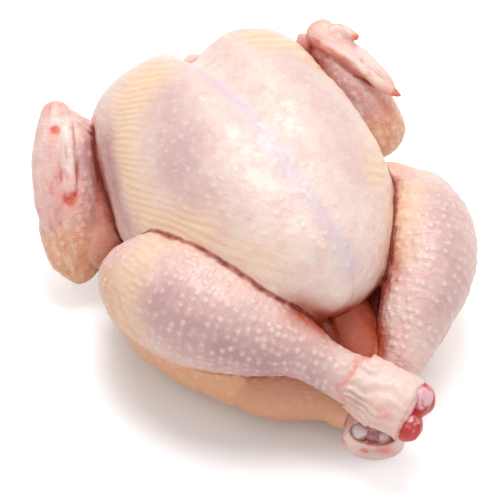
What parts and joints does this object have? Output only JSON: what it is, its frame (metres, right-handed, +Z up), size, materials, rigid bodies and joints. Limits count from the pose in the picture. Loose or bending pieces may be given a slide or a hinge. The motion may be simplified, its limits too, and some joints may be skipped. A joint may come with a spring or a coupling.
{
  "type": "whole raw chicken",
  "caption": "Whole raw chicken lying on its back, breast up, wings folded and legs crossed, with the leg bones showing at the cut hocks.",
  "frame": {"origin": "on the flat rest face of the back, under the middle of the breast", "axes": "+Z up towards the breast, +Y towards the neck end, +X towards the bird's left wing"},
  "size_m": [0.2095, 0.2623, 0.1214],
  "materials": {
    "skin": "moist, semi-translucent skin with raised follicles, glossy where it is stretched",
    "red_knuckle": "wet pink and red cartilage",
    "grey_knuckle": "wet grey-lavender cartilage"
  },
  "bodies": {
    "root": {"chicken": "skin", "leg_bone_over": "red_knuckle", "leg_bone_under": "grey_knuckle"}
  },
  "joints": []
}
